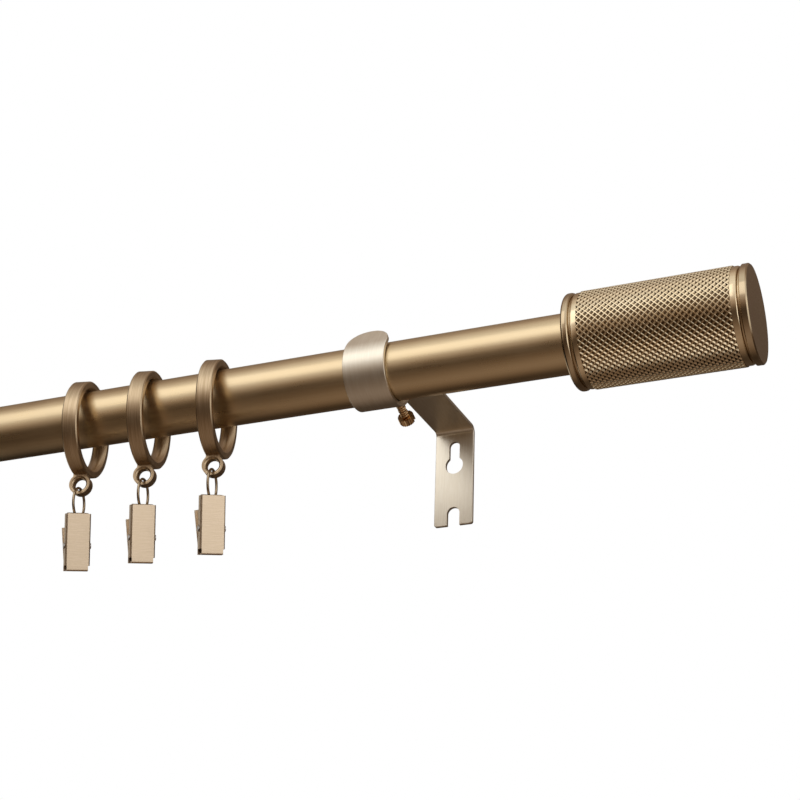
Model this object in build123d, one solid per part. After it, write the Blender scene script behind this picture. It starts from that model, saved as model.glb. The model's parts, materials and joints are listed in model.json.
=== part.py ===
from build123d import *
import os
from math import cos, hypot, pi, radians, sin, sqrt, tan

# Extendable curtain rod with knurled finials, wall brackets and clip rings.
# Millimetres and degrees. +X runs along the rod to the right finial, +Y to the wall, +Z is up.
# The origin is on the wall, at the centre of the right bracket's keyhole.

# Telescoping tubes
outer_diameter = 25.4
outer_wall = 0.8
outer_length = 671.0
inner_diameter = 22.2
inner_wall = 0.8
inner_exposed = 40.0
closed_gap = 25.0
mouth_chamfer = 0.3

# Plastic guide bush on the hidden end of the inner tube
bush_length = 18.0
bush_lip = 2.0
bush_clearance = 0.1

# Finials: turned caps at both ends of a knurled sleeve, tied by a stud
finial_length = 74.5
sleeve_diameter = 39.6
cap_proud = 0.4
flange_thickness = 3.2
flange_round = 1.2
end_thickness = 3.2
end_chamfer = 0.5
groove_width = 0.6
groove_depth = 1.3
spigot_length = 6.0
sleeve_wall = 2.4
sleeve_band = 2.8
rim_chamfer = 0.8
knurl_proud = 0.4
knurl_depth = 0.8
knurl_around = 30
knurl_along = 14
stud_diameter = 6.0
stud_chamfer = 0.6
stud_into_cap = 5.0
plug_length = 24.0
plug_chamfer = 1.0
seat_clearance = 0.05

# Wall brackets: one folded strip each
bracket_width = 19.0
bracket_sheet = 1.8
bracket_inset = 87.8
rod_projection = 93.0
arm_rise = 13.0
plate_height = 47.7
bend_radius = 2.0
cup_clearance = 0.9
cup_set_back = 0.5
rest_gap = 0.1
tongue_lean = 33.0
tongue_length = 10.0
tongue_corner = 9.0
plate_corner = 1.2
edge_round = 0.3
keyhole_drop = 17.5
keyhole_diameter = 8.7
keyhole_slot_width = 5.2
keyhole_height = 16.4
foot_slot_width = 6.2
foot_slot_height = 9.0

# Lock screws through the back of each cup
screw_angle = 68.0
screw_offset = 3.2
screw_diameter = 4.0
screw_hole_clearance = 0.1
screw_tip_gap = 0.3
screw_length = 13.2
screw_head_diameter = 7.2
screw_head_height = 3.2
screw_head_chamfer = 0.6
screw_slot_width = 1.0
screw_slot_depth = 1.2

# Curtain rings, each cast with an eyelet
first_ring_reach = 76.9
second_ring_gap = 34.6
third_ring_gap = 33.3
ring_bore = 35.6
ring_section = 4.35
ring_width = 7.0
ring_crown = 1.5
ring_chamfer = 0.5
ring_yaw = 13.4
ring_roll = 3.0
ring_gap = 0.3
eyelet_drop = 26.7
eyelet_diameter = 9.6
eyelet_hole = 5.6
eyelet_thickness = 4.4
eyelet_round = 1.3
eyelet_neck = 6.4

# Round links between eyelets and clips
link_diameter = 14.8
link_wire = 1.2
link_gap = 0.3

# Spring clips of folded sheet, each with a lever on a riveted pin
clip_azimuth = 46.0
clip_tilt = 16.0
clip_lean = 8.5
clip_width = 11.1
clip_height = 23.0
clip_sheet = 0.7
clip_depth = 3.8
clip_bend = 0.8
tongue_width = 9.4
tongue_height = 2.4
lip_depth = 4.0
tab_rise = 8.0
tab_gap = 0.8
tab_width = 9.2
tab_depth = 4.8
tab_corner = 1.2
tab_web = 1.1
tab_slot_width = 7.6
tab_slot_front = 0.9
lever_play = 0.2
thumb_margin = 0.2
lever_drop = 5.8
lever_rise = 8.0
lever_bend_drop = 21.0
lever_jaw_gap = 0.3
cheek_top_depth = 4.4
cheek_margin = 1.2
pin_drop = 14.2
pin_depth = 2.6
pin_diameter = 1.6
pin_clearance = 0.05
pin_head_diameter = 2.6
pin_head_height = 0.5
spring_wire = 0.7
spring_turns = 4
spring_play = 0.15
spring_leg = 6.5
spring_leg_wire = 0.6
spring_tip_gap = 0.2

# Places that follow from the driving dimensions
outer_radius = outer_diameter / 2
outer_bore = outer_radius - outer_wall
inner_radius = inner_diameter / 2
inner_bore = inner_radius - inner_wall
rod_z = keyhole_drop - arm_rise
right_end = bracket_inset
outer_mouth = right_end - outer_length
left_end = outer_mouth - inner_exposed
inner_length = outer_length + inner_exposed - plug_length - closed_gap - bush_lip
rod_axis = Pos(0, -rod_projection, rod_z)
right_side = Pos(right_end, -rod_projection, rod_z)
left_side = Pos(left_end, -rod_projection, rod_z) * Rot(Z=180)


def turned(points, rounds=(), round_radius=0.0, chamfers=(), chamfer_length=0.0):
    """Solid of revolution about the X axis from (station, radius) points."""
    profile = Polygon(*points, align=None)

    def corners(chosen):
        return [v for v in profile.vertices() if any(hypot(v.X - x, v.Y - r) < 1e-6 for x, r in chosen)]

    if rounds:
        profile = fillet(corners(rounds), round_radius)
    if chamfers:
        profile = chamfer(corners(chamfers), chamfer_length)
    return revolve(profile, Axis.X)


def bar(start, end, radius):
    """Round bar between two points."""
    start = Vector(*start)
    reach = Vector(*end) - start
    return extrude(Plane(start, z_dir=reach) * Circle(radius), reach.length)


# Tubes and bush


def tube(start, end, radius, bore):
    """Straight tube about the rod axis with broken outer edges."""
    outline = [(start, bore), (start, radius), (end, radius), (end, bore)]
    return rod_axis * turned(outline, chamfers=outline[1:3], chamfer_length=mouth_chamfer)


def guide_bush():
    """Sleeve over the inner tube's hidden end, with a lip that caps the cut edge."""
    edge = left_end + inner_length
    skin = outer_bore - bush_clearance
    seat = inner_radius + seat_clearance
    outline = [
        (edge - bush_length, seat),
        (edge - bush_length, skin),
        (edge + bush_lip, skin),
        (edge + bush_lip, inner_bore),
        (edge + seat_clearance, inner_bore),
        (edge + seat_clearance, seat),
    ]
    return rod_axis * turned(outline)


# Finial pieces: station 0 is the end of the tube, and stations grow outwards

band_radius = sleeve_diameter / 2
cap_rim = band_radius + cap_proud
neck = band_radius - groove_depth
sleeve_bore = band_radius - sleeve_wall
spigot = sleeve_bore - seat_clearance
stud_hole = stud_diameter / 2 + seat_clearance
sleeve_start = flange_thickness + groove_width
end_back = finial_length - end_thickness
sleeve_end = end_back - groove_width
end_spigot = sleeve_end - spigot_length
stud_end = end_spigot + stud_into_cap


def flange_cap():
    """Rounded disc against the tube, with a neck and a spigot for the sleeve."""
    outline = [
        (0, stud_hole),
        (0, cap_rim),
        (flange_thickness, cap_rim),
        (flange_thickness, neck),
        (sleeve_start, neck),
        (sleeve_start, spigot),
        (sleeve_start + spigot_length, spigot),
        (sleeve_start + spigot_length, stud_hole),
    ]
    return turned(outline, rounds=outline[1:3], round_radius=flange_round)


def end_cap():
    """Flat end disc with broken edges, a neck, a spigot and a blind hole for the stud."""
    outline = [
        (end_spigot, stud_hole),
        (end_spigot, spigot),
        (sleeve_end, spigot),
        (sleeve_end, neck),
        (end_back, neck),
        (end_back, cap_rim),
        (finial_length, cap_rim),
        (finial_length, 0),
        (stud_end, 0),
        (stud_end, stud_hole),
    ]
    return turned(outline, chamfers=outline[5:7], chamfer_length=end_chamfer)


def finial_stud():
    """Stud from the tube plug, through the flange cap, into the end cap."""
    start = -plug_length
    end = stud_end - seat_clearance
    outline = [(start, 0), (start, stud_diameter / 2), (end, stud_diameter / 2), (end, 0)]
    return turned(outline, chamfers=outline[1:3], chamfer_length=stud_chamfer)


def tube_plug(bore):
    """Insert in the end of a tube that takes the stud."""
    skin = bore - seat_clearance
    outline = [(-plug_length, stud_hole), (-plug_length, skin), (0, skin), (0, stud_hole)]
    return turned(outline, chamfers=outline[1:2], chamfer_length=plug_chamfer)


def knurl_skin(start, end):
    """Crossing ridges with diamond pits between them, as flat facets about the X axis."""
    ridge = band_radius + knurl_proud
    pit = ridge - knurl_depth
    step = (end - start) / knurl_along
    turn = 2 * pi / knurl_around

    def point(along, around, radius):
        angle = around * turn
        return Vector(start + along * step, radius * cos(angle), radius * sin(angle))

    def facet(*corners):
        return Face(Wire.make_polygon(corners))

    def diamond(along, around):
        sides = ((-0.5, 0), (0, -0.5), (0.5, 0), (0, 0.5))
        corners = [point(along + a, around + b, ridge) for a, b in sides]
        bottom = point(along, around, pit)
        return [facet(corners[i - 1], corners[i], bottom) for i in range(4)]

    def end_triangle(along, inward, around):
        edge = [point(along, around + side, ridge) for side in (0, 1)]
        return facet(*edge, point(along + inward / 2, around + 0.5, ridge))

    def shoulder(along):
        rim = Wire.make_polygon([point(along, i, ridge) for i in range(knurl_around)])
        plane = Plane((start + along * step, 0, 0), x_dir=(0, 1, 0), z_dir=(1, 0, 0))
        return Face(rim, [Wire.make_circle(band_radius, plane)])

    faces = [shoulder(0), shoulder(knurl_along)]
    for around in range(knurl_around):
        faces += [f for i in range(knurl_along) for f in diamond(i + 0.5, around)]
        faces += [f for i in range(1, knurl_along) for f in diamond(i, around + 0.5)]
        faces += [end_triangle(0, 1, around), end_triangle(knurl_along, -1, around)]
    return faces


def knurled_sleeve():
    """Tube with a knurled field between two plain bands, closed as one skin."""
    start = sleeve_start + sleeve_band
    end = sleeve_end - sleeve_band
    plain = Polyline(
        (start, band_radius),
        (sleeve_start + rim_chamfer, band_radius),
        (sleeve_start, band_radius - rim_chamfer),
        (sleeve_start, sleeve_bore),
        (sleeve_end, sleeve_bore),
        (sleeve_end, band_radius - rim_chamfer),
        (sleeve_end - rim_chamfer, band_radius),
        (end, band_radius),
    )
    skin = Shell.revolve(plain, 360, Axis.X).faces() + knurl_skin(start, end)
    return Solid(Shell(skin))


# Brackets and lock screws

cup_inner = outer_radius + cup_clearance


def cup_rise(tube_radius):
    """Height of the cup's centre above the axis of a tube that rests in it."""
    return sqrt((cup_inner - tube_radius - rest_gap) ** 2 - cup_set_back**2)


cup_z = rod_z + cup_rise(outer_radius)
cup_centre = (cup_set_back - rod_projection, cup_z)
plate_bottom = rod_z + arm_rise - plate_height
inner_lift = cup_rise(inner_radius) - cup_rise(outer_radius)
right_bracket_place = Pos(0, 0, 0)
left_bracket_place = Pos((outer_mouth + left_end) / 2, 0, inner_lift)
tongue_way = Vector(sin(radians(tongue_lean)), cos(radians(tongue_lean)))
screw_axis = Pos(screw_offset, *cup_centre) * Rot(X=180 + screw_angle)


def strip_profile():
    """Strip seen along X: tongue, cup, sloping back wall, arm and wall plate, folded from one sheet."""
    arm_top = rod_z + arm_rise + bracket_sheet
    tongue_foot = 180 - tongue_lean
    cup = CenterArc(cup_centre, cup_inner, tongue_foot, 270 + screw_angle - tongue_foot)
    tongue = Line(cup @ 0 + tongue_way * tongue_length, cup @ 0)
    foot = cup @ 1
    knee = (foot.X + (arm_top - foot.Y) / tan(radians(screw_angle)), arm_top)
    bends = FilletPolyline(
        foot, knee, (0, arm_top), (0, plate_bottom), radius=bend_radius + bracket_sheet
    )
    line = Wire(tongue.edges() + cup.edges() + bends.edges())
    return make_face(line.offset_2d(bracket_sheet, side=Side.RIGHT).edges())


def plate_cutouts():
    """Keyhole and open foot slot, as an outline on the wall plate."""
    hole = keyhole_diameter / 2
    neck_half = keyhole_slot_width / 2
    neck_rise = keyhole_height - hole - neck_half
    keyhole = Circle(hole)
    keyhole += Pos(0, neck_rise / 2) * Rectangle(keyhole_slot_width, neck_rise)
    keyhole += Pos(0, neck_rise) * Circle(neck_half)
    foot_rise = foot_slot_height - foot_slot_width / 2
    foot = Pos(0, plate_bottom) * Rectangle(foot_slot_width, 2 * foot_rise)
    foot += Pos(0, plate_bottom + foot_rise) * Circle(foot_slot_width / 2)
    return keyhole + foot


def bracket():
    """Folded strip with a rounded tongue, a screw hole, a keyhole and a foot slot."""
    strip = extrude(Plane.YZ * strip_profile(), bracket_width / 2, both=True)
    middle = cup_inner + bracket_sheet / 2
    tongue_end = Vector(*cup_centre) + Vector(-tongue_way.Y, tongue_way.X) * middle + tongue_way * tongue_length
    tip = Vector(0, tongue_end.X, tongue_end.Y)
    side = Vector(bracket_width / 2, 0, 0)
    bottom = Vector(0, -bracket_sheet / 2, plate_bottom)
    for end, radius in ((tip, tongue_corner), (bottom, plate_corner)):
        for corner in (end - side, end + side):
            edge = strip.edges().sort_by_distance(corner)[0]
            strip = fillet(edge, radius)
    rims = [e for e in strip.edges() if abs(abs(e.center().X) - side.X) < edge_round and e.length > edge_round]
    strip = fillet([e for e in rims if e.bounding_box().size.X < edge_round], edge_round)
    strip -= extrude(Plane.XZ * plate_cutouts(), 2 * bracket_sheet, both=True)
    hole = Cylinder(screw_diameter / 2 + screw_hole_clearance, 4 * bracket_sheet)
    return strip - screw_axis * Pos(0, 0, middle) * hole


def screw_tip(tube_radius):
    """Distance from the cup's centre to the screw's flat tip, just clear of the tube."""
    rise = cup_rise(tube_radius)
    angle = radians(screw_angle)
    along = rise * cos(angle) - cup_set_back * sin(angle)
    across = rise * sin(angle) + cup_set_back * cos(angle)
    nearest = max(0, across - screw_diameter / 2)
    return along + sqrt(tube_radius**2 - nearest**2) + screw_tip_gap


def lock_screw(tube_radius):
    """Slotted screw along the hole through the cup's back."""
    shank = extrude(Circle(screw_diameter / 2), screw_length)
    head = extrude(Circle(screw_head_diameter / 2), screw_head_height)
    head = chamfer(head.edges().group_by(Axis.Z)[-1], screw_head_chamfer)
    slot = Box(2 * screw_head_diameter, screw_slot_width, 2 * screw_slot_depth)
    head -= Pos(0, 0, screw_head_height) * slot
    return screw_axis * Pos(0, 0, screw_tip(tube_radius)) * (shank + Pos(0, 0, screw_length) * head)


# Rings, links and clips, each hung from the piece above it

second_ring_reach = first_ring_reach + second_ring_gap
third_ring_reach = second_ring_reach + third_ring_gap
ring_stations = (-first_ring_reach, -second_ring_reach, -third_ring_reach)
ring_outer = ring_bore / 2 + ring_section
wire = link_wire / 2
link_radius = link_diameter / 2 - wire
web_depth = tab_depth - tab_web / 2
tab_place = Rot(X=tab_rise)
hang_point = Pos((tab_place * Pos(0, web_depth, -clip_sheet - tab_gap - wire)).position)


def ring_place(station):
    """Ring centre, with the ring hanging on the rod and turned a little on it."""
    drop = ring_bore / 2 - outer_radius - ring_gap
    return Pos(station, -rod_projection, rod_z) * Rot(X=ring_roll) * Rot(Z=ring_yaw) * Pos(0, 0, -drop)


def link_top(station):
    """Centre of the link's wire where it lies in the eyelet."""
    seat = eyelet_drop + eyelet_hole / 2 - link_gap - wire
    return Pos((ring_place(station) * Pos(0, 0, -seat)).position)


def link_place(station):
    return link_top(station) * Rot(Z=ring_yaw) * Pos(0, 0, -link_radius)


def clip_place(station):
    """Top front edge of the clip, whose slotted tab hangs on the bottom of the link."""
    bottom = link_place(station) * Pos(0, 0, -link_radius) * Rot(Z=clip_azimuth - ring_yaw)
    return bottom * Rot(X=clip_tilt) * Rot(Y=-clip_lean) * hang_point.inverse()


def ring():
    """Band with a flat outside and a crowned inside, cast with a bored eyelet below."""
    half = ring_width / 2
    bore = ring_bore / 2
    shoulder = bore + ring_crown
    sides = Polyline((-half, shoulder), (-half, ring_outer), (half, ring_outer), (half, shoulder))
    crown = ThreePointArc((half, shoulder), (0, bore), (-half, shoulder))
    section = make_face(sides.edges() + crown.edges())
    section = chamfer(section.vertices().group_by(Axis.Y)[-1], ring_chamfer)
    neck_top = ring_outer - ring_section / 2
    eye = Pos(0, -eyelet_drop)
    lug = eye * Circle(eyelet_diameter / 2)
    lug += Pos(0, -(eyelet_drop + neck_top) / 2) * Rectangle(eyelet_neck, eyelet_drop - neck_top)
    lug = extrude(Plane.XZ * lug, eyelet_thickness / 2, both=True)
    hole = extrude(Plane.XZ * (eye * Circle(eyelet_hole / 2)), eyelet_thickness, both=True)
    lug -= hole
    rims = lug.edges().filter_by(GeomType.CIRCLE).filter_by(lambda e: e.is_closed)
    return revolve(section, Axis.X) + fillet(rims, eyelet_round)


def link():
    return Rot(Y=90) * Torus(link_radius, wire)


def clip_body():
    """Channel with a slotted tab folded back at the top and a lip folded back at the bottom."""
    outline = Pos(0, clip_depth / 2) * Rectangle(clip_width, clip_depth)
    outline = fillet(outline.vertices().group_by(Axis.Y)[0], clip_bend)
    cavity = Pos(0, clip_sheet + clip_depth / 2) * Rectangle(clip_width - 2 * clip_sheet, clip_depth)
    body = extrude(outline - cavity, -clip_height)
    tab = Pos(0, tab_depth / 2) * Rectangle(tab_width, tab_depth)
    tab = fillet(tab.vertices().group_by(Axis.Y)[-1], tab_corner)
    tab -= Pos(0, clip_sheet / 4) * Rectangle(tab_width, clip_sheet / 2)
    slot_depth = tab_depth - tab_web - tab_slot_front
    tab -= Pos(0, tab_slot_front + slot_depth / 2) * Rectangle(tab_slot_width, slot_depth)
    body += tab_place * extrude(tab, -clip_sheet)
    lip_bottom = clip_height + tongue_height
    front = Pos(0, clip_sheet / 2) * Rectangle(tongue_width, clip_sheet)
    body += Pos(0, 0, -clip_height) * extrude(front, -tongue_height)
    lip = Pos(0, lip_depth / 2) * Rectangle(tongue_width, lip_depth)
    body += Pos(0, 0, -lip_bottom) * extrude(lip, clip_sheet)
    pin_hole = Cylinder(pin_diameter / 2 + seat_clearance, 2 * clip_width)
    return body - pin_place * pin_hole


pin_place = Pos(0, pin_depth, -pin_drop) * Rot(Y=90)
lever_width = clip_width - 2 * clip_sheet - 2 * lever_play
jaw_depth = lip_depth + lever_jaw_gap
thumb = Vector(clip_depth + lever_rise - clip_sheet, -lever_drop)
knee = Vector(jaw_depth, -lever_bend_drop)
jaw = Vector(jaw_depth, -clip_height - tongue_height)


def clip_lever():
    """Thumb lever: a bent plate with two cheeks on the pin, closing on the clip's lip."""
    path = Polyline(jaw, knee, thumb)
    plate = make_face(path.offset_2d(clip_sheet, side=Side.RIGHT).edges())
    lever = extrude(Plane.YZ * plate, clip_width / 2 - thumb_margin, both=True)
    front = pin_depth - cheek_margin
    cheek = Polygon(
        tuple(thumb)[:2],
        (cheek_top_depth, -lever_drop),
        (front, -pin_drop + cheek_margin),
        (front, -pin_drop - cheek_margin),
        tuple(knee)[:2],
        align=None,
    )
    cheek = extrude(Plane.YZ * cheek, clip_sheet)
    lever += Pos(lever_width / 2 - clip_sheet, 0, 0) * cheek
    lever += Pos(-lever_width / 2, 0, 0) * cheek
    return lever - pin_place * Cylinder(pin_diameter / 2 + pin_clearance, 2 * clip_width)


def clip_pin():
    """Riveted pin with a flat head on each side of the clip."""
    shank = pin_diameter / 2
    head = pin_head_diameter / 2
    inside = clip_width / 2 + seat_clearance
    outside = inside + pin_head_height
    outline = [(-outside, 0), (-outside, head), (-inside, head), (-inside, shank)]
    outline += [(-x, r) for x, r in reversed(outline)]
    return Pos(0, pin_depth, -pin_drop) * turned(outline)


def clip_spring():
    """Coil round the pin, with one leg on the front plate and one under the thumb lever."""
    bore = pin_diameter / 2 + spring_play
    half = spring_turns * spring_wire / 2
    outline = [(-half, bore)]
    for i in range(spring_turns):
        left = i * spring_wire - half
        outline += [(left, bore + spring_wire / 2), (left + spring_wire / 2, bore + spring_wire)]
    outline += [(half, bore + spring_wire / 2), (half, bore)]
    pin = Vector(pin_depth, -pin_drop)
    coil = bore + spring_wire / 2
    leg = spring_leg_wire / 2
    side = half - spring_wire / 2
    slope = (thumb - knee).normalized()
    inward = Vector(-slope.Y, slope.X)
    tip = knee + slope * (pin.Y - knee.Y + spring_leg) + inward * (leg + spring_tip_gap)
    aim = (tip - pin).normalized()
    rear = pin + Vector(aim.Y, -aim.X) * coil
    front = pin - Vector(coil, 0)
    spring = Pos(0, pin.X, pin.Y) * turned(outline)
    spring += bar((-side, front.X, front.Y), (-side, front.X, front.Y + spring_leg), leg)
    return spring + bar((side, rear.X, rear.Y), (side, tip.X, tip.Y), leg)


# Every piece by name

pieces = {
    "outer_tube": tube(outer_mouth, right_end, outer_radius, outer_bore),
    "inner_tube": tube(left_end, left_end + inner_length, inner_radius, inner_bore),
    "guide_bush": guide_bush(),
}
sleeve = knurled_sleeve()
strip = bracket()
for name, place, bore in (("right", right_side, outer_bore), ("left", left_side, inner_bore)):
    pieces[f"{name}_flange_cap"] = place * flange_cap()
    pieces[f"{name}_knurled_sleeve"] = place * sleeve
    pieces[f"{name}_end_cap"] = place * end_cap()
    pieces[f"{name}_finial_stud"] = place * finial_stud()
    pieces[f"{name}_tube_plug"] = place * tube_plug(bore)
for name, place, radius in (
    ("right", right_bracket_place, outer_radius),
    ("left", left_bracket_place, inner_radius),
):
    pieces[f"{name}_bracket"] = place * strip
    pieces[f"{name}_lock_screw"] = place * lock_screw(radius)
for number, station in enumerate(ring_stations, start=1):
    clip = clip_place(station)
    pieces[f"ring_{number}"] = ring_place(station) * ring()
    pieces[f"link_{number}"] = link_place(station) * link()
    pieces[f"clip_body_{number}"] = clip * clip_body()
    pieces[f"clip_lever_{number}"] = clip * clip_lever()
    pieces[f"clip_pin_{number}"] = clip * clip_pin()
    pieces[f"clip_spring_{number}"] = clip * clip_spring()

os.makedirs("parts", exist_ok=True)
for name, piece in pieces.items():
    export_step(piece, f"parts/{name}.step")
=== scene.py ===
"""Looks of an extendable curtain rod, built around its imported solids."""

import json
import math

import bmesh
import bpy
from bpy.props import FloatProperty, FloatVectorProperty, IntProperty, PointerProperty
from mathutils import Matrix, Vector


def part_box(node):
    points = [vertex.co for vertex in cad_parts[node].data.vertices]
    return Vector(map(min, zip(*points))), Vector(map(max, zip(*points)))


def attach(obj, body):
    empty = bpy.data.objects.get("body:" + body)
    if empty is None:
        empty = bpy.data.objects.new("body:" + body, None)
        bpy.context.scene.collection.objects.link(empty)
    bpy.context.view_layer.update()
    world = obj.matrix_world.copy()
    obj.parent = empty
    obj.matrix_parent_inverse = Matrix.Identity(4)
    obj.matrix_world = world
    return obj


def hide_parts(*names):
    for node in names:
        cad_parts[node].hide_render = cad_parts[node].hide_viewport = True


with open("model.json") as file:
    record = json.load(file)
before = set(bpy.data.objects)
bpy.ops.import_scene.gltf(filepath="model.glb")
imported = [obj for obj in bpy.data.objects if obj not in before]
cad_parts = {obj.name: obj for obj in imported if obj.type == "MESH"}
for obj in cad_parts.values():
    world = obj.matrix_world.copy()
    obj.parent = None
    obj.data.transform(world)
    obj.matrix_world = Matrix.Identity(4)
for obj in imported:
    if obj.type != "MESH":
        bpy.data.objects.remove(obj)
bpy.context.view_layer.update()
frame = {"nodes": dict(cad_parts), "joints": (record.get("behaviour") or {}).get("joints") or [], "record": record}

bl_info = {
    "name": "Curtain Rod Looks",
    "version": (1, 0, 0),
    "blender": (4, 5, 0),
    "location": "3D View > Sidebar > Curtain Rod",
    "description": "Finishes, knurled finials, lock screws and clip springs of a curtain rod",
    "category": "Object",
}

MM = 0.001
SIDES = ("right", "left")
NUMBERS = (1, 2, 3)

# Finishes: noise per metre, height of the metals' tooth and the plastic's pebbles, turn of the rings' brushing
MOTTLE_SCALE = 55.0
TOOTH_SCALE = 2600.0
TOOTH_HEIGHT = 0.06 * MM
PEBBLE_HEIGHT = 0.05 * MM
RING_ROLL = math.radians(3)
RING_YAW = math.radians(13.4)

# Meshes: distance that merges points, and angles that part flat, rounded and sharp edges
MERGE = 2e-6
FLAT_ANGLE = math.radians(0.6)
EDGE_ANGLE = math.radians(32)
LATHE_ANGLE = math.radians(40)
LATHE_SEGMENTS = 128
SHOULDER_STEPS = 6

# Knurl: name of the depth attribute, which also sets the pits' painted shade, flat share at a diamond's rim
# and bottom, slack in cells at the field's ends, and laps under the bands
PIT = "pit"
LAND = 0.15
SLACK = 0.01
KNURL_LAP = 0.1 * MM
KNURL_FOOT = 0.2 * MM

# Lock screws
RIB_ROOT = 0.93
SLOT_WIDTH = 1.0 * MM
SLOT_DEPTH = 1.2 * MM

# Clips: roundings of the sheet, and the rear spring leg's place in wire radii past the coil
LIP_RADIUS = 0.65 * MM
BODY_EDGE = 0.14 * MM
LEVER_EDGE = 0.12 * MM
LEG_SPACING = 1.7

# Room: half the floor's side, its middle along the rod and its depth below the right keyhole, in metres
FLOOR_HALF = 45.0
FLOOR_MIDDLE = -0.25
FLOOR_DEPTH = 2.1


# Node graphs written as expressions


class Socket:
    """A node's output that takes part in arithmetic."""

    def __init__(self, graph, raw):
        self.graph = graph
        self.raw = raw

    def math(self, operation, *values):
        return self.graph.node("ShaderNodeMath", {"operation": operation}, values)

    def __add__(self, other):
        return self.math("ADD", self, other)

    def __radd__(self, other):
        return self.math("ADD", other, self)

    def __sub__(self, other):
        return self.math("SUBTRACT", self, other)

    def __rsub__(self, other):
        return self.math("SUBTRACT", other, self)

    def __mul__(self, other):
        return self.math("MULTIPLY", self, other)

    def __rmul__(self, other):
        return self.math("MULTIPLY", other, self)

    def __truediv__(self, other):
        return self.math("DIVIDE", self, other)

    def __rtruediv__(self, other):
        return self.math("DIVIDE", other, self)

    def clamped(self, low=0.0, high=1.0):
        return self.math("MINIMUM", self.math("MAXIMUM", self, low), high)


class Graph:
    """Adds nodes to a shader or geometry tree."""

    def __init__(self, tree):
        self.tree = tree

    def node(self, kind, settings=None, values=None, output=0):
        """One node of that type: its settings first, then the values or links of its sockets."""
        node = self.tree.nodes.new(kind)
        for name, value in (settings or {}).items():
            if name == "stops":
                set_stops(node.color_ramp, value)
            else:
                setattr(node, name, value)
        values = values or {}
        pairs = values.items() if isinstance(values, dict) else enumerate(values)
        for key, value in pairs:
            for item in value if isinstance(value, list) else [value]:
                if isinstance(item, Socket):
                    self.tree.links.new(item.raw, node.inputs[key])
                else:
                    node.inputs[key].default_value = item
        return Socket(self, node.outputs[output]) if node.outputs else node

    def output(self, kind, values):
        """Links values to the tree's output node, made where there is none."""
        found = [n for n in self.tree.nodes if n.bl_idname == kind]
        node = found[0] if found else self.tree.nodes.new(kind)
        for key, value in values.items():
            self.tree.links.new(value.raw, node.inputs[key])

    def mix(self, factor, first, second):
        """Colour mix."""
        return self.node(
            "ShaderNodeMix",
            {"data_type": "RGBA"},
            {0: factor, 6: first, 7: second},
            output=2,
        )

    def split(self, vector):
        """The three parts of a vector."""
        node = self.node("ShaderNodeSeparateXYZ", None, [vector])
        return [Socket(self, out) for out in node.raw.node.outputs]

    def join(self, x, y, z):
        return self.node("ShaderNodeCombineXYZ", None, [x, y, z])


def set_stops(ramp, stops):
    """Places a ramp's stops, each a position and a grey, with eased steps between them."""
    ramp.interpolation = "EASE"
    while len(ramp.elements) > 1:
        ramp.elements.remove(ramp.elements[-1])
    for i, (position, grey) in enumerate(stops):
        element = ramp.elements[0] if i == 0 else ramp.elements.new(position)
        element.position = position
        element.color = (grey, grey, grey, 1.0)


# Finishes


def colour(value):
    return (*value, 1.0)


def new_material(name):
    material = bpy.data.materials.new(name)
    material.use_nodes = True
    material.node_tree.nodes.clear()
    return material, Graph(material.node_tree)


def plated_metal(
    name, tone, deep, roughness, turn=(0, 0, 0), grain=(60, 900, 900), streak=0.10, bump=0.12, lines=1.2,
    recess=None,
):
    """Plated metal with brushing that runs along one direction, soft mottling and a fine tooth."""
    material, g = new_material(name)
    place = g.node("ShaderNodeTexCoord", None, None, output=3)
    turned = g.node("ShaderNodeMapping", {"vector_type": "TEXTURE"}, {"Vector": place, "Rotation": turn})
    drawn = g.node("ShaderNodeVectorMath", {"operation": "MULTIPLY"}, [turned, grain])
    brush = g.node("ShaderNodeTexNoise", None, {
        "Vector": drawn, "Scale": 1.0, "Detail": 3.0, "Roughness": 0.6,
    })
    mottle = g.node("ShaderNodeTexNoise", None, {
        "Vector": place, "Scale": MOTTLE_SCALE, "Detail": 4.0, "Roughness": 0.55,
    })
    tooth = g.node("ShaderNodeTexNoise", None, {"Vector": place, "Scale": TOOTH_SCALE, "Detail": 2.0})
    worn = ((mottle - 0.35) * 0.9 + (brush - 0.5) * lines + 0.1).clamped()
    body = g.mix(worn, colour(deep), colour(tone))
    rough = roughness + (brush - 0.5) * streak + (mottle - 0.5) * 0.10 + (tooth - 0.5) * 0.06
    # Recess: the knurl's pits are mixed toward a darker tone by their depth, as painted shade; their roughness
    # rises too.
    if recess:
        sunk = g.node("ShaderNodeAttribute", {"attribute_name": PIT}, None, output=2)
        body = g.mix(sunk, body, colour(recess["tone"]))
        rough = rough + sunk * recess["roughness"]
    height = g.node("ShaderNodeBump", None, {
        "Strength": bump, "Distance": TOOTH_HEIGHT, "Height": brush + tooth * 0.6,
    })
    shader = g.node(
        "ShaderNodeBsdfPrincipled",
        None,
        {"Base Color": body, "Metallic": 1.0, "Roughness": rough.clamped(0.05, 1.0), "Normal": height},
    )
    g.output("ShaderNodeOutputMaterial", {"Surface": shader})
    return material


def moulded_plastic(name, tone):
    """Dark moulded plastic with a fine pebbled skin."""
    material, g = new_material(name)
    place = g.node("ShaderNodeTexCoord", None, None, output=3)
    pebble = g.node("ShaderNodeTexVoronoi", None, {"Vector": place, "Scale": 1500.0})
    cloud = g.node("ShaderNodeTexNoise", None, {"Vector": place, "Scale": 70.0, "Detail": 3.0})
    body = g.mix(cloud, colour([c * 0.8 for c in tone]), colour([c * 1.2 for c in tone]))
    height = g.node("ShaderNodeBump", None, {"Strength": 0.2, "Distance": PEBBLE_HEIGHT, "Height": pebble})
    shader = g.node(
        "ShaderNodeBsdfPrincipled",
        None,
        {"Base Color": body, "Roughness": 0.45 + cloud * 0.2, "Normal": height},
    )
    g.output("ShaderNodeOutputMaterial", {"Surface": shader})
    return material


# Meshes


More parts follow.
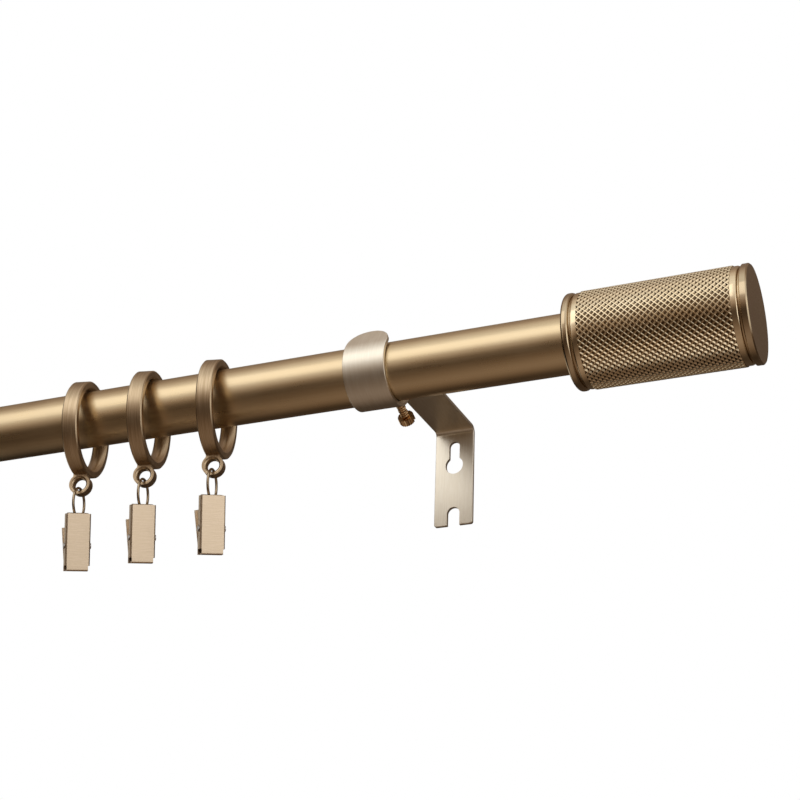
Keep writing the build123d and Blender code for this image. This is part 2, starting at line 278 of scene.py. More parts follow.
def add_piece(name, mesh, body, replaced):
    """Puts a finished mesh in the scene as a piece that rides on a body and stands for CAD nodes."""
    piece = bpy.data.objects.new(name, mesh)
    bpy.context.scene.collection.objects.link(piece)
    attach(piece, body)
    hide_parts(*replaced)


def lathe(points, axis_point):
    """Closed outline of (station, radius) points turned about a line along X."""
    bm = bmesh.new()
    rings = []
    for station, radius in points:
        ring = []
        for i in range(LATHE_SEGMENTS):
            angle = 2 * math.pi * i / LATHE_SEGMENTS
            ring.append(bm.verts.new((
                station,
                axis_point.y + radius * math.cos(angle),
                axis_point.z + radius * math.sin(angle),
            )))
        rings.append(ring)
    for first, second in zip(rings, rings[1:] + rings[:1]):
        for i in range(LATHE_SEGMENTS):
            j = (i + 1) % LATHE_SEGMENTS
            bm.faces.new((first[i], first[j], second[j], second[i]))
    bmesh.ops.recalc_face_normals(bm, faces=bm.faces)
    for face in bm.faces:
        face.smooth = True
    mesh = bpy.data.meshes.new("turned")
    bm.to_mesh(mesh)
    bm.free()
    mesh.set_sharp_from_angle(angle=LATHE_ANGLE)
    return mesh


def new_tree(name, inputs):
    """A geometry tree with a geometry input, named sizes and one geometry output."""
    tree = bpy.data.node_groups.new(name, "GeometryNodeTree")
    tree.interface.new_socket("Geometry", in_out="INPUT", socket_type="NodeSocketGeometry")
    for label, kind in inputs:
        tree.interface.new_socket(label, in_out="INPUT", socket_type=kind)
    tree.interface.new_socket("Geometry", in_out="OUTPUT", socket_type="NodeSocketGeometry")
    graph = Graph(tree)
    entry = tree.nodes.new("NodeGroupInput")
    sizes = {out.name: Socket(graph, out) for out in entry.outputs if out.name}
    return graph, sizes


def finish_tree(graph, geometry, material):
    """Ends a tree in real geometry with its material."""
    real = graph.node("GeometryNodeRealizeInstances", None, [geometry])
    painted = graph.node("GeometryNodeSetMaterial", None, {"Geometry": real, "Material": material})
    graph.output("NodeGroupOutput", {0: painted})


def grow(mesh, tree, values):
    """Runs a geometry tree on a mesh and returns the result as a plain mesh."""
    host = bpy.data.objects.new("host", mesh)
    bpy.context.scene.collection.objects.link(host)
    modifier = host.modifiers.new("Nodes", "NODES")
    modifier.node_group = tree
    for item in tree.interface.items_tree:
        if item.in_out == "INPUT" and item.name in values:
            modifier[item.identifier] = values[item.name]
    evaluated = host.evaluated_get(bpy.context.evaluated_depsgraph_get())
    result = bpy.data.meshes.new_from_object(evaluated)
    host.modifiers.remove(modifier)
    bpy.data.objects.remove(host)
    if not result.polygons:
        raise RuntimeError(f"the tree {tree.name} made no faces")
    return result


def softened(node, width, lip=None):
    """Copy of a CAD node's mesh with its sharp edges rounded off, and a folded lip more than the rest."""
    bm = bmesh.new()
    bm.from_mesh(frame["nodes"][node].data)
    bmesh.ops.remove_doubles(bm, verts=bm.verts, dist=MERGE)
    bmesh.ops.dissolve_limit(bm, angle_limit=FLAT_ANGLE, verts=bm.verts, edges=bm.edges)
    if lip:
        bottom = min(lip["up"].dot(v.co) for v in bm.verts) + width
        front = min(lip["back"].dot(v.co) for v in bm.verts) + width
        fold = [
            e for e in bm.edges
            if all(lip["up"].dot(v.co) < bottom and lip["back"].dot(v.co) < front for v in e.verts)
        ]
        bmesh.ops.bevel(
            bm, geom=fold, offset=LIP_RADIUS, offset_type="OFFSET", segments=6, profile=0.5, affect="EDGES",
        )
    sharp = [e for e in bm.edges if len(e.link_faces) == 2 and e.calc_face_angle() > EDGE_ANGLE]
    bmesh.ops.bevel(
        bm, geom=sharp, offset=width, offset_type="OFFSET", segments=2, profile=0.5, affect="EDGES",
        clamp_overlap=True,
    )
    bmesh.ops.triangulate(bm, faces=[f for f in bm.faces if len(f.verts) > 4])
    for face in bm.faces:
        face.smooth = True
    mesh = bpy.data.meshes.new(node + "_soft")
    bm.to_mesh(mesh)
    bm.free()
    host = bpy.data.objects.new("host", mesh)
    bpy.context.scene.collection.objects.link(host)
    weighted = host.modifiers.new("Weighted", "WEIGHTED_NORMAL")
    weighted.keep_sharp = True
    result = bpy.data.meshes.new_from_object(host.evaluated_get(bpy.context.evaluated_depsgraph_get()))
    bpy.data.objects.remove(host)
    return result


def joint(name):
    return next(j for j in frame["joints"] if j["name"] == name)


def body_of(node):
    bodies = frame["record"]["behaviour"]["bodies"]
    return next(name for name, nodes in bodies.items() if node in nodes)


def rod_centre():
    """A point on the rod's axis."""
    low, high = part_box("outer_tube")
    return (low + high) / 2


def clip_frame(number):
    """Turn of a clip: X along its pin, Y from its front plate to the wall, Z up the plate."""
    x = Vector(joint(f"lever_{number}_press")["axis"])
    front = max(frame["nodes"][f"clip_body_{number}"].data.polygons, key=lambda face: face.area)
    y = front.normal if front.normal.y > 0 else -front.normal
    z = x.cross(y)
    return Matrix([(x[i], y[i], z[i]) for i in range(3)])


# Sizes and colours


class RodFinishes(bpy.types.PropertyGroup):
    """Colours of the plated finishes."""

    brass: FloatVectorProperty(
        name="Brass", description="Satin brass of the tubes", subtype="COLOR",
        default=(0.75, 0.60, 0.385), min=0.0, max=1.0,
    )
    brass_deep: FloatVectorProperty(
        name="Deep brass", description="Darker tone in the brass", subtype="COLOR",
        default=(0.66, 0.51, 0.31), min=0.0, max=1.0,
    )
    # Ridge tone is lighter than the tubes' brass: partly wear on the ridges, partly a painted highlight.
    ridge: FloatVectorProperty(
        name="Ridge", description="Worn ridges of the knurl", subtype="COLOR",
        default=(0.90, 0.76, 0.545), min=0.0, max=1.0,
    )
    # Painted shade: the knurl's pit bottoms are given this darker colour.
    pit: FloatVectorProperty(
        name="Pit", description="Darkened bottoms of the knurl", subtype="COLOR",
        default=(0.22, 0.155, 0.092), min=0.0, max=1.0,
    )
    # Turned tones: the tubes' brass made about a fifth darker, as painted shade on the finials.
    turned: FloatVectorProperty(
        name="Turned", description="Turned brass of the finials' discs", subtype="COLOR",
        default=(0.60, 0.48, 0.325), min=0.0, max=1.0,
    )
    turned_deep: FloatVectorProperty(
        name="Deep turned", description="Darker tone in the turned brass", subtype="COLOR",
        default=(0.53, 0.41, 0.26), min=0.0, max=1.0,
    )
    bronze: FloatVectorProperty(
        name="Bronze", description="Brushed bronze of the rings", subtype="COLOR",
        default=(0.64, 0.495, 0.325), min=0.0, max=1.0,
    )
    bronze_deep: FloatVectorProperty(
        name="Deep bronze", description="Darker tone in the bronze", subtype="COLOR",
        default=(0.46, 0.34, 0.21), min=0.0, max=1.0,
    )
    champagne: FloatVectorProperty(
        name="Champagne", description="Pale plating of the brackets", subtype="COLOR",
        default=(0.89, 0.825, 0.705), min=0.0, max=1.0,
    )
    champagne_deep: FloatVectorProperty(
        name="Deep champagne", description="Darker tone in the pale plating", subtype="COLOR",
        default=(0.81, 0.735, 0.605), min=0.0, max=1.0,
    )
    clip: FloatVectorProperty(
        name="Clip", description="Brushed plating of the clips", subtype="COLOR",
        default=(0.78, 0.63, 0.47), min=0.0, max=1.0,
    )
    clip_deep: FloatVectorProperty(
        name="Deep clip", description="Darker tone in the clip plating", subtype="COLOR",
        default=(0.635, 0.505, 0.36), min=0.0, max=1.0,
    )
    wire: FloatVectorProperty(
        name="Wire", description="Darkened brass wire of the links", subtype="COLOR",
        default=(0.52, 0.40, 0.26), min=0.0, max=1.0,
    )
    screw: FloatVectorProperty(
        name="Screw", description="Bright brass of the lock screws", subtype="COLOR",
        default=(0.76, 0.51, 0.27), min=0.0, max=1.0,
    )


class KnurlSizes(bpy.types.PropertyGroup):
    """Sizes of the knurled sleeves."""

    around: IntProperty(name="Around", description="Diamonds in one turn", default=49, min=12, max=90)
    along: IntProperty(name="Along", description="Diamonds along the field", default=23, min=4, max=60)
    steps: IntProperty(name="Steps", description="Rings of faces in one diamond", default=6, min=1, max=8)
    depth: FloatProperty(
        name="Depth", description="Depth of a diamond", subtype="DISTANCE", unit="LENGTH",
        default=0.68 * MM, min=0.0, max=2 * MM,
    )
    band: FloatProperty(
        name="Band", description="Plain band at each end of the field", subtype="DISTANCE", unit="LENGTH",
        default=2.8 * MM, min=0.5 * MM, max=8 * MM,
    )
    band_radius: FloatProperty(
        name="Band radius", description="Radius of the plain bands", subtype="DISTANCE", unit="LENGTH",
        default=19.8 * MM, min=15 * MM, max=25 * MM,
    )
    bore: FloatProperty(
        name="Bore", description="Radius inside the sleeve", subtype="DISTANCE", unit="LENGTH",
        default=17.4 * MM, min=10 * MM, max=19 * MM,
    )
    rim: FloatProperty(
        name="Rim", description="Rounding of the bands' outer edges", subtype="DISTANCE", unit="LENGTH",
        default=1.0 * MM, min=0.1 * MM, max=2 * MM,
    )


class ScrewSizes(bpy.types.PropertyGroup):
    """Sizes of the lock screws."""

    pitch: FloatProperty(
        name="Pitch", description="Thread pitch", subtype="DISTANCE", unit="LENGTH",
        default=1.1 * MM, min=0.3 * MM, max=2 * MM,
    )
    core: FloatProperty(
        name="Core", description="Radius at the root of the thread", subtype="DISTANCE", unit="LENGTH",
        default=1.25 * MM, min=0.5 * MM, max=3 * MM,
    )
    crest: FloatProperty(
        name="Crest", description="Radius at the crest of the thread", subtype="DISTANCE", unit="LENGTH",
        default=2.0 * MM, min=0.5 * MM, max=3 * MM,
    )
    head_height: FloatProperty(
        name="Head height", description="Height of the ribbed head", subtype="DISTANCE", unit="LENGTH",
        default=3.2 * MM, min=1 * MM, max=8 * MM,
    )
    head_radius: FloatProperty(
        name="Head radius", description="Radius at the tips of the ribs", subtype="DISTANCE", unit="LENGTH",
        default=3.6 * MM, min=1 * MM, max=8 * MM,
    )
    ribs: IntProperty(name="Ribs", description="Ribs round the head", default=22, min=6, max=60)


class SpringSizes(bpy.types.PropertyGroup):
    """Sizes of the clip springs."""

    wire: FloatProperty(
        name="Wire", description="Radius of the spring wire", subtype="DISTANCE", unit="LENGTH",
        default=0.33 * MM, min=0.1 * MM, max=1 * MM,
    )
    coil: FloatProperty(
        name="Coil", description="Radius of the coil at the middle of the wire",
        subtype="DISTANCE", unit="LENGTH", default=1.3 * MM, min=0.5 * MM, max=3 * MM,
    )
    turns: IntProperty(name="Turns", description="Turns of the coil", default=3, min=1, max=8)
    front_leg: FloatProperty(
        name="Front leg", description="Length of the leg on the front plate",
        subtype="DISTANCE", unit="LENGTH", default=6.4 * MM, min=1 * MM, max=12 * MM,
    )
    rear_reach: FloatVectorProperty(
        name="Rear reach", description="End of the leg under the thumb lever, back from and above the pin",
        size=2, subtype="XYZ", unit="LENGTH", default=(6.58 * MM, 5.54 * MM),
    )


# Operators


class ROD_OT_finishes(bpy.types.Operator):
    """Gives every solid its finish"""

    bl_idname = "curtain_rod.finishes"
    bl_label = "Finishes"

    def execute(self, context):
        tones = context.scene.rod_finishes
        ring_turn = (RING_ROLL, 0, RING_YAW)
        clip_turn = clip_frame(NUMBERS[0]).to_euler("XYZ")
        finishes = {
            "rod_metal": plated_metal(
                "satin_brass", tones.brass, tones.brass_deep, 0.30, grain=(25, 700, 700),
            ),
            # Finials: a darker copy of the tubes' brass as painted shade, with a smoother polish
            "finial_metal": plated_metal(
                "turned_brass", tones.turned, tones.turned_deep, 0.13, grain=(2500, 90, 90),
            ),
            # Knurl: ridges lighter, partly wear and partly painted highlight, and pits darker as painted shade
            "knurled_metal": plated_metal(
                "knurled_brass", tones.ridge, tones.brass, 0.13, streak=0.04, bump=0.05,
                recess={"tone": tones.pit, "roughness": 0.06},
            ),
            "ring_metal": plated_metal(
                "brushed_bronze", tones.bronze, tones.bronze_deep, 0.32, turn=ring_turn,
                grain=(2600, 60, 60), streak=0.2, bump=0.2, lines=4.0,
            ),
            "bracket_metal": plated_metal(
                "champagne_plate", tones.champagne, tones.champagne_deep, 0.37,
                grain=(1400, 120, 120), streak=0.08, bump=0.07, lines=2.5,
            ),
            "clip_metal": plated_metal(
                "brushed_champagne", tones.clip, tones.clip_deep, 0.36, turn=clip_turn,
                grain=(160, 160, 2200), streak=0.2, bump=0.25, lines=3.0,
            ),
            "link_metal": plated_metal(
                "dark_wire", tones.wire, [c * 0.8 for c in tones.wire], 0.26,
                grain=(500, 500, 500), streak=0.04, bump=0.04, lines=0.5,
            ),
            "screw_brass": plated_metal(
                "bright_brass", tones.screw, [c * 0.8 for c in tones.screw], 0.14,
                grain=(700, 700, 700), streak=0.04, bump=0.05,
            ),
            "stud_steel": plated_metal(
                "drawn_steel", (0.55, 0.53, 0.50), (0.42, 0.40, 0.38), 0.3, grain=(40, 900, 900),
            ),
            "plug_plastic": moulded_plastic("dark_plastic", (0.045, 0.043, 0.04)),
        }
        for part in frame["record"]["subparts"]:
            solid = frame["nodes"][part["node"]]
            solid.data.materials.clear()
            solid.data.materials.append(finishes[part["material_slot"]])
        return {"FINISHED"}


def finish_of(node):
    return frame["nodes"][node].data.materials[0]


def knurl_tree(steps):
    """Diamond pits wrapped round a line along X, joined to the plain sleeve that comes in."""
    graph, size = new_tree("Diamond knurl", [
        ("Start", "NodeSocketFloat"), ("End", "NodeSocketFloat"), ("Ridge", "NodeSocketFloat"),
        ("Depth", "NodeSocketFloat"), ("Foot", "NodeSocketFloat"), ("Overlap", "NodeSocketFloat"),
        ("Axis Y", "NodeSocketFloat"), ("Axis Z", "NodeSocketFloat"),
        ("Around", "NodeSocketInt"), ("Along", "NodeSocketInt"), ("Material", "NodeSocketMaterial"),
    ])
    along, around = size["Along"], size["Around"]
    cell = graph.node("GeometryNodeMeshCone", {"fill_type": "NONE"}, {
        "Vertices": 4, "Side Segments": steps, "Radius Top": 0.0, "Radius Bottom": 0.5, "Depth": 1.0,
    })
    rows = []
    for extra, shift in ((0, 0.0), (1, 0.5)):
        grid = graph.node("GeometryNodeMeshGrid", None, {
            "Size X": along + (extra - 1), "Size Y": around - 1,
            "Vertices X": along + extra, "Vertices Y": around,
        })
        middle = graph.join(along * 0.5, shift, 0.0)
        rows.append(graph.node("GeometryNodeTransform", None, {"Geometry": grid, "Translation": middle}))
    points = graph.node("GeometryNodeJoinGeometry", None, {0: rows})
    cells = graph.node("GeometryNodeInstanceOnPoints", None, {"Points": points, "Instance": cell})
    skin = graph.node("GeometryNodeRealizeInstances", None, [cells])
    place = graph.node("GeometryNodeInputPosition")
    u, v, t = graph.split(place)
    slope = ((t - LAND) / (1 - 2 * LAND)).clamped()
    # Depth into the pits, read by the material for its painted shade and its roughness
    skin = graph.node(
        "GeometryNodeStoreNamedAttribute", {"data_type": "FLOAT", "domain": "POINT"},
        {"Geometry": skin, "Name": PIT, "Value": slope},
    )
    before = u.math("LESS_THAN", u, -SLACK)
    after = u.math("GREATER_THAN", u, along + SLACK)
    outside = before + after
    step = (size["End"] - size["Start"]) / along
    station = size["Start"] + u.math("MINIMUM", u.math("MAXIMUM", u, 0.0), along) * step
    station = station + (after - before) * size["Overlap"]
    surface = size["Ridge"] - size["Depth"] * slope
    radius = surface + outside * (size["Foot"] - surface)
    angle = v * (2 * math.pi) / around
    wrapped = graph.join(
        station,
        size["Axis Y"] + radius * angle.math("COSINE", angle),
        size["Axis Z"] + radius * angle.math("SINE", angle),
    )
    skin = graph.node("GeometryNodeSetPosition", None, {"Geometry": skin, "Position": wrapped})
    skin = graph.node("GeometryNodeFlipFaces", None, [skin])
    skin = graph.node("GeometryNodeMergeByDistance", None, {"Geometry": skin, "Distance": MERGE})
    skin = graph.node("GeometryNodeSetShadeSmooth", None, {"Geometry": skin, "Shade Smooth": False})
    whole = graph.node("GeometryNodeJoinGeometry", None, {0: [skin, size["Geometry"]]})
    finish_tree(graph, whole, size["Material"])
    return graph.tree


class ROD_OT_knurls(bpy.types.Operator):
    """Cuts the finials' sleeves with a fine diamond knurl"""

    bl_idname = "curtain_rod.knurls"
    bl_label = "Knurled sleeves"

    def execute(self, context):
        sizes = context.scene.knurl_sizes
        tree = knurl_tree(sizes.steps)
        axis_point = rod_centre()
        for side in SIDES:
            node = f"{side}_knurled_sleeve"
            low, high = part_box(node)
            start = low.x + sizes.band
            end = high.x - sizes.band
            ridge = (high.z - low.z) / 2
            core = ridge - sizes.depth - KNURL_FOOT
            rim = sizes.rim
            band = sizes.band_radius
            shoulder = []
            for i in range(SHOULDER_STEPS + 1):
                angle = math.pi / 2 * i / SHOULDER_STEPS
                shoulder.append((rim - rim * math.cos(angle), band - rim + rim * math.sin(angle)))
            outline = [(low.x, sizes.bore)] + [(low.x + x, r) for x, r in shoulder]
            outline += [(start, band), (start, core), (end, core), (end, band)]
            outline += [(high.x - x, r) for x, r in reversed(shoulder)] + [(high.x, sizes.bore)]
            plain = lathe(outline, axis_point)
            mesh = grow(plain, tree, {
                "Start": start, "End": end, "Ridge": ridge, "Depth": sizes.depth, "Foot": band - KNURL_FOOT,
                "Overlap": KNURL_LAP, "Axis Y": axis_point.y, "Axis Z": axis_point.z,
                "Around": sizes.around, "Along": sizes.along, "Material": finish_of(node),
            })
            add_piece(f"{side}_diamond_sleeve", mesh, body_of(node), [node])
        return {"FINISHED"}


def screw_tree():
    """Threaded shank and ribbed, slotted head along Z, tip at the origin."""
    graph, size = new_tree("Lock screw", [
        ("Length", "NodeSocketFloat"), ("Pitch", "NodeSocketFloat"), ("Core", "NodeSocketFloat"),
        ("Crest", "NodeSocketFloat"), ("Head Height", "NodeSocketFloat"), ("Head Radius", "NodeSocketFloat"),
        ("Ribs", "NodeSocketInt"), ("Material", "NodeSocketMaterial"),
    ])
    length, pitch, core, crest = size["Length"], size["Pitch"], size["Core"], size["Crest"]
    shank = graph.node("GeometryNodeMeshCylinder", None, {"Vertices": 32, "Radius": core, "Depth": length})
    shank = graph.node("GeometryNodeTransform", None, {
        "Geometry": shank, "Translation": graph.join(0.0, 0.0, length * 0.5),
    })
    helix = graph.node("GeometryNodeCurveSpiral", None, {
        "Resolution": 24, "Rotations": (length - pitch) / pitch, "Start Radius": core, "End Radius": core,
        "Height": length - pitch,
    })
    ridge = graph.node("GeometryNodeCurvePrimitiveCircle", None, {"Resolution": 4, "Radius": crest - core})
    thread = graph.node("GeometryNodeCurveToMesh", None, {
        "Curve": helix, "Profile Curve": ridge, "Fill Caps": True,
    })
    thread = graph.node("GeometryNodeTransform", None, {
        "Geometry": thread, "Translation": graph.join(0.0, 0.0, pitch * 0.5),
    })
    height, radius = size["Head Height"], size["Head Radius"]
    star = graph.node("GeometryNodeCurveStar", None, {
        "Points": size["Ribs"], "Inner Radius": radius * RIB_ROOT, "Outer Radius": radius,
    })
    disc = graph.node("GeometryNodeFillCurve", None, {"Curve": star})
    head = graph.node("GeometryNodeExtrudeMesh", None, {
        "Mesh": disc, "Offset": graph.join(0.0, 0.0, 1.0), "Offset Scale": height, "Individual": False,
    })
    bottom = graph.node("GeometryNodeFlipFaces", None, [disc])
    head = graph.node("GeometryNodeJoinGeometry", None, {0: [head, bottom]})
    head = graph.node("GeometryNodeMergeByDistance", None, {"Geometry": head, "Distance": MERGE})
    head = graph.node("GeometryNodeTransform", None, {
        "Geometry": head, "Translation": graph.join(0.0, 0.0, length),
    })
    slot = graph.node("GeometryNodeMeshCube", None, {
        "Size": graph.join(radius * 4, SLOT_WIDTH, SLOT_DEPTH * 2),
    })
    slot = graph.node("GeometryNodeTransform", None, {
        "Geometry": slot, "Translation": graph.join(0.0, 0.0, length + height),
    })
    head = graph.node("GeometryNodeMeshBoolean", {"operation": "DIFFERENCE"}, {
        "Mesh 1": head, "Mesh 2": slot,
    })
    head = graph.node("GeometryNodeSetShadeSmooth", None, {"Geometry": head, "Shade Smooth": False})
    whole = graph.node("GeometryNodeJoinGeometry", None, {0: [shank, thread, head]})
    finish_tree(graph, whole, size["Material"])
    return graph.tree


def frame_along(axis, side, origin):
    """Matrix that stands Z along an axis, X near a side direction, at an origin."""
    z = Vector(axis).normalized()
    y = z.cross(Vector(side)).normalized()
    x = y.cross(z)
    rows = [(x[i], y[i], z[i], origin[i]) for i in range(3)]
    return Matrix(rows + [(0, 0, 0, 1)])


class ROD_OT_screws(bpy.types.Operator):
    """Turns threads and ribbed heads on the lock screws"""

    bl_idname = "curtain_rod.screws"
    bl_label = "Lock screws"

    def execute(self, context):
        sizes = context.scene.screw_sizes
        tree = screw_tree()
        for side in SIDES:
            node = f"{side}_lock_screw"
            axis = Vector(joint(f"{side}_screw_slide")["axis"])
            points = [v.co for v in frame["nodes"][node].data.vertices]
            across = axis.cross(Vector((1, 0, 0)))
            spans = []
            for direction in (axis, Vector((1, 0, 0)), across):
                reach = [direction.dot(p) for p in points]
                spans.append((min(reach), max(reach)))
            tip = axis * spans[0][0]
            tip += Vector((1, 0, 0)) * sum(spans[1]) / 2 + across * sum(spans[2]) / 2
            total = spans[0][1] - spans[0][0]
            mesh = grow(bpy.data.meshes.new("empty"), tree, {
                "Length": total - sizes.head_height, "Pitch": sizes.pitch,
                "Core": sizes.core, "Crest": sizes.crest, "Head Height": sizes.head_height,
                "Head Radius": sizes.head_radius, "Ribs": sizes.ribs, "Material": finish_of(node),
            })
            mesh.transform(frame_along(axis, (1, 0, 0), tip))
            add_piece(f"{side}_threaded_screw", mesh, body_of(node), [node])
        return {"FINISHED"}


def wind(graph, size, path):
    """Ends a tree in round wire along a path."""
    section = graph.node("GeometryNodeCurvePrimitiveCircle", None, {
        "Resolution": 10, "Radius": size["Wire"],
    })
    wire = graph.node("GeometryNodeCurveToMesh", None, {
        "Curve": path, "Profile Curve": section, "Fill Caps": True,
    })
    finish_tree(graph, wire, size["Material"])
    return graph.tree


def leg_line(graph, size):
    """Straight line from a leg's root to its tip."""
    return graph.node(
        "GeometryNodeCurvePrimitiveLine", {"mode": "POINTS"}, {"Start": size["Root"], "End": size["Tip"]}
    )


def leg_tree():
    """Straight spring leg."""
    graph, size = new_tree("Spring leg", [
        ("Wire", "NodeSocketFloat"), ("Root", "NodeSocketVector"), ("Tip", "NodeSocketVector"),
        ("Material", "NodeSocketMaterial"),
    ])
    return wind(graph, size, leg_line(graph, size))


def coil_tree():
    """Coil about X with one straight leg in the plane of its end."""
    graph, size = new_tree("Spring coil", [
        ("Wire", "NodeSocketFloat"), ("Coil", "NodeSocketFloat"), ("Turns", "NodeSocketFloat"),
        ("Root", "NodeSocketVector"), ("Tip", "NodeSocketVector"), ("Material", "NodeSocketMaterial"),
    ])
    width = size["Turns"] * size["Wire"] * 2
    helix = graph.node("GeometryNodeCurveSpiral", None, {
        "Resolution": 28, "Rotations": size["Turns"], "Height": width,
        "Start Radius": size["Coil"], "End Radius": size["Coil"],
    })
    helix = graph.node("GeometryNodeTransform", None, {
        "Geometry": helix, "Translation": graph.join(width * -0.5, 0.0, 0.0),
        "Rotation": (0, math.pi / 2, 0),
    })
    path = graph.node("GeometryNodeJoinGeometry", None, {0: [helix, leg_line(graph, size)]})
    return wind(graph, size, path)


class ROD_OT_springs(bpy.types.Operator):
    """Winds the clip springs from wire, each split at the pin so that its rear leg goes with the lever"""

    bl_idname = "curtain_rod.springs"
    bl_label = "Clip springs"

    def execute(self, context):
        sizes = context.scene.spring_sizes
        coils, legs = coil_tree(), leg_tree()
        front_side = -sizes.turns * sizes.wire
        rear_side = (sizes.turns + LEG_SPACING) * sizes.wire
        back, up = sizes.rear_reach
        share = sizes.coil / math.hypot(back, up)
        for n in NUMBERS:
            node = f"clip_spring_{n}"
            place = Matrix.Translation(joint(f"lever_{n}_press")["pos_m"]) @ clip_frame(n).to_4x4()
            coil = grow(bpy.data.meshes.new("empty"), coils, {
                "Wire": sizes.wire, "Coil": sizes.coil, "Turns": float(sizes.turns),
                "Root": (front_side, -sizes.coil, 0.0), "Tip": (front_side, -sizes.coil, sizes.front_leg),
                "Material": finish_of(node),
            })
            leg = grow(bpy.data.meshes.new("empty"), legs, {
                "Wire": sizes.wire, "Root": (rear_side, share * up, -share * back),
                "Tip": (rear_side, back, up), "Material": finish_of(node),
            })
            for name, mesh, rider in (("coil", coil, node), ("leg", leg, f"clip_lever_{n}")):
                mesh.transform(place)
                add_piece(f"clip_{name}_{n}", mesh, body_of(rider), [node])
        return {"FINISHED"}


class ROD_OT_sheet_edges(bpy.types.Operator):
    """Rounds the cut edges and the lips of the clips' folded sheet"""

    bl_idname = "curtain_rod.sheet_edges"
    bl_label = "Sheet edges"

    def execute(self, context):
        for n in NUMBERS:
            turn = clip_frame(n)
            lip = {"up": turn.col[2], "back": turn.col[1]}
            self.fold(f"clip_body_{n}", softened(f"clip_body_{n}", BODY_EDGE, lip))
            self.fold(f"clip_lever_{n}", softened(f"clip_lever_{n}", LEVER_EDGE))
        return {"FINISHED"}

    def fold(self, node, mesh):
        """Puts a rounded copy in its node's place."""
        mesh.materials.clear()
        mesh.materials.append(finish_of(node))
        add_piece(f"{node}_folded", mesh, body_of(node), [node])


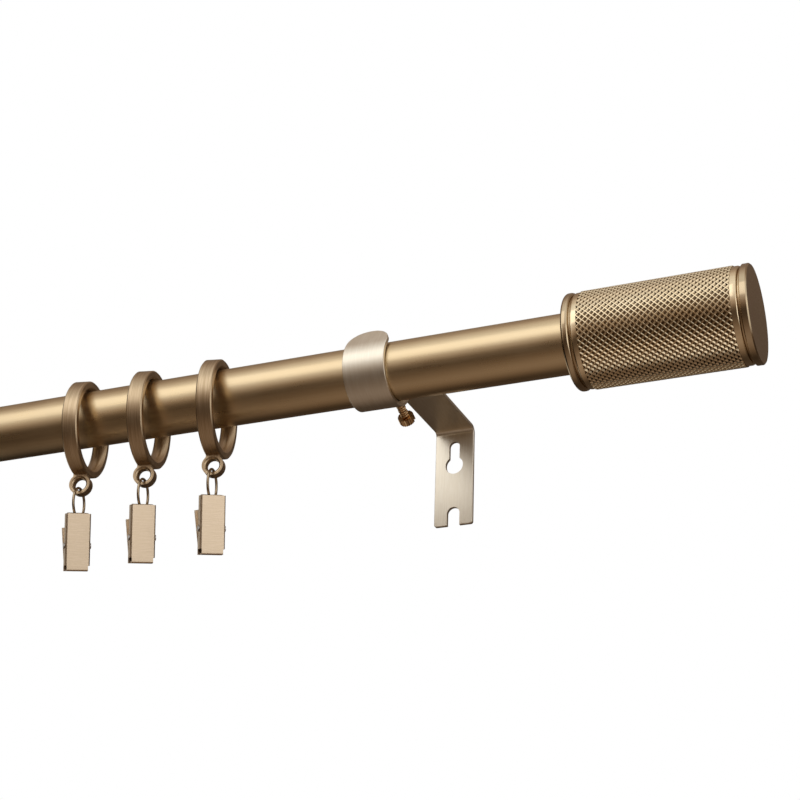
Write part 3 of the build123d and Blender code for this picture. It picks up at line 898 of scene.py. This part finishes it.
class ROD_OT_stage(bpy.types.Operator):
    """Sets the floor, the studio light and the camera"""

    bl_idname = "curtain_rod.stage"
    bl_label = "Stage"

    def execute(self, context):
        scene = context.scene
        scene.view_settings.view_transform = "Standard"
        self.studio(scene)
        self.floor(scene)
        self.lamps(scene)
        self.camera(scene)
        return {"FINISHED"}

    def studio(self, scene):
        """White background, with a sweep round the rod's direction for what metal mirrors."""
        world = bpy.data.worlds.new("studio")
        scene.world = world
        world.use_nodes = True
        world.node_tree.nodes.clear()
        g = Graph(world.node_tree)
        x, y, z = g.split(g.node("ShaderNodeTexCoord", None, None, output=0))
        # Along the rod the sweep is turned by up to 9 degrees either way
        lean = (-0.36 - x).clamped(-0.15, 0.15) * 60
        pitch = z.math("ARCTAN2", z, 0.0 - y) * math.degrees(1) + lean
        # Grey of the sweep by pitch in degrees
        stops = (
            (-180, 0.07), (-150, 0.06),  # dim wall behind the rod
            (-92, 0.33),  # bounce from below
            (-25, 0.08),  # dark gap under the front light
            (33, 1.0), (48, 1.0),  # front light
            (112, 0.29), (157, 0.07),  # its fall over the top
        )
        band = g.node(
            "ShaderNodeValToRGB",
            {"stops": [((angle + 180) / 360, grey) for angle, grey in stops]},
            [pitch / 360 + 0.5],
        )
        # Under the rod it fades toward the far end, and a dark flag closes it at the left
        below = ((-35.0 - pitch) / 20).clamped()
        fade = 1 - below * (1 - ((x + 0.62) / 0.24).clamped(0.1, 1.0))
        band = band * fade * ((x + 0.80) / 0.20).clamped(0.08, 1.0)
        warmth = g.mix((band * 1.3 - 0.2).clamped(), (1.0, 0.70, 0.49, 1), (1, 1, 1, 1))
        sweep = g.node(
            "ShaderNodeVectorMath", {"operation": "MULTIPLY"}, [warmth, g.join(band, band, band)]
        )
        # A pale panel stands at the right and a dim one at the left, behind the rod
        panel = ((x - 0.58) / 0.2).clamped() * ((0.2 - y) / 0.3).clamped() * ((z + 0.5) / 0.2).clamped()
        sweep = g.mix(panel, sweep, (0.95, 0.94, 0.93, 1))
        rim = ((-0.62 - x) / 0.15).clamped() * ((y - 0.1) / 0.3).clamped()
        sweep = g.mix(rim, sweep, (0.62, 0.58, 0.52, 1))
        path = g.node("ShaderNodeLightPath").raw.node.outputs
        seen = Socket(g, path["Is Camera Ray"])
        glossy = Socket(g, path["Is Glossy Ray"])
        mirrored = glossy.math("MAXIMUM", glossy, Socket(g, path["Is Transmission Ray"]))
        backdrop = g.mix(seen, sweep, (1, 1, 1, 1))
        shown = g.mix(seen.math("MAXIMUM", seen, mirrored), (0.92, 0.92, 0.91, 1), backdrop)
        light = g.node("ShaderNodeBackground", None, {"Color": shown, "Strength": 1.0})
        g.output("ShaderNodeOutputWorld", {"Surface": light})

    def floor(self, scene):
        """Pale floor of the room, a tall window's height below the rod."""
        mesh = bpy.data.meshes.new("floor")
        bm = bmesh.new()
        bmesh.ops.create_grid(bm, x_segments=1, y_segments=1, size=FLOOR_HALF)
        bmesh.ops.translate(bm, verts=bm.verts, vec=(FLOOR_MIDDLE, 0.0, -FLOOR_DEPTH))
        bm.to_mesh(mesh)
        bm.free()
        material, g = new_material("pale_floor")
        place = g.node("ShaderNodeTexCoord", None, None, output=3)
        cloud = g.node("ShaderNodeTexNoise", None, {"Vector": place, "Scale": 2.0, "Detail": 2.0})
        tone = g.mix(cloud, (0.90, 0.90, 0.895, 1), (0.93, 0.93, 0.925, 1))
        shader = g.node("ShaderNodeBsdfPrincipled", None, {"Base Color": tone, "Roughness": 0.8})
        g.output("ShaderNodeOutputMaterial", {"Surface": shader})
        mesh.materials.append(material)
        floor = bpy.data.objects.new("floor", mesh)
        floor.visible_glossy = False
        scene.collection.objects.link(floor)

    def lamps(self, scene):
        """Two softboxes: a key above the camera and a low fill at the right."""
        target = Vector((-0.02, -0.09, 0.0))
        for name, direction, distance, size, power in (
            ("key_softbox", (-0.40, -0.78, 0.58), 1.5, (1.3, 0.9), 2.2),
            ("right_softbox", (0.85, -0.50, 0.0), 1.4, (0.9, 0.9), 1.4),
        ):
            light = bpy.data.lights.new(name, "AREA")
            light.shape = "RECTANGLE"
            light.size, light.size_y = size
            light.energy = power
            lamp = bpy.data.objects.new(name, light)
            toward = Vector(direction).normalized()
            lamp.matrix_world = frame_along(toward, (1, 0, 0), target + toward * distance)
            lamp.visible_camera = False
            scene.collection.objects.link(lamp)

    def camera(self, scene):
        """Camera below the rod's right end, looking up along it."""
        right = Vector((0.92049, 0.38929, 0.03411))
        up = Vector((0.14018, -0.41041, 0.90106))
        back = Vector((0.36477, -0.82464, -0.43234))
        place = (0.2663, -0.66956, -0.31165)
        lens = bpy.data.cameras.new("camera")
        lens.sensor_width = 36.0
        lens.lens = 74.97
        lens.clip_start = 0.01
        camera = bpy.data.objects.new("camera", lens)
        rows = [(right[i], up[i], back[i], place[i]) for i in range(3)]
        camera.matrix_world = Matrix(rows + [(0, 0, 0, 1)])
        scene.collection.objects.link(camera)
        scene.camera = camera


class ROD_PT_sidebar(bpy.types.Panel):
    """Lists the steps in the sidebar"""

    bl_idname = "ROD_PT_sidebar"
    bl_label = "Curtain Rod"
    bl_space_type = "VIEW_3D"
    bl_region_type = "UI"
    bl_category = "Curtain Rod"

    def draw(self, context):
        scene = context.scene
        for group in (scene.rod_finishes, scene.knurl_sizes, scene.screw_sizes, scene.spring_sizes):
            box = self.layout.box()
            for name in group.bl_rna.properties.keys():
                if name not in {"rna_type", "name"}:
                    box.prop(group, name)
        for operator in OPERATORS:
            self.layout.operator(operator.bl_idname)


GROUPS = {
    "rod_finishes": RodFinishes,
    "knurl_sizes": KnurlSizes,
    "screw_sizes": ScrewSizes,
    "spring_sizes": SpringSizes,
}
OPERATORS = (
    ROD_OT_finishes, ROD_OT_knurls, ROD_OT_screws, ROD_OT_springs, ROD_OT_sheet_edges, ROD_OT_stage,
)


def register():
    for cls in (*GROUPS.values(), *OPERATORS, ROD_PT_sidebar):
        bpy.utils.register_class(cls)
    for name, group in GROUPS.items():
        setattr(bpy.types.Scene, name, PointerProperty(type=group))


def unregister():
    for name in GROUPS:
        delattr(bpy.types.Scene, name)
    for cls in reversed((*GROUPS.values(), *OPERATORS, ROD_PT_sidebar)):
        bpy.utils.unregister_class(cls)


def main():
    register()
    bpy.ops.curtain_rod.finishes()
    bpy.ops.curtain_rod.knurls()
    bpy.ops.curtain_rod.screws()
    bpy.ops.curtain_rod.springs()
    bpy.ops.curtain_rod.sheet_edges()
    bpy.ops.curtain_rod.stage()


if __name__ == "__main__":
    main()
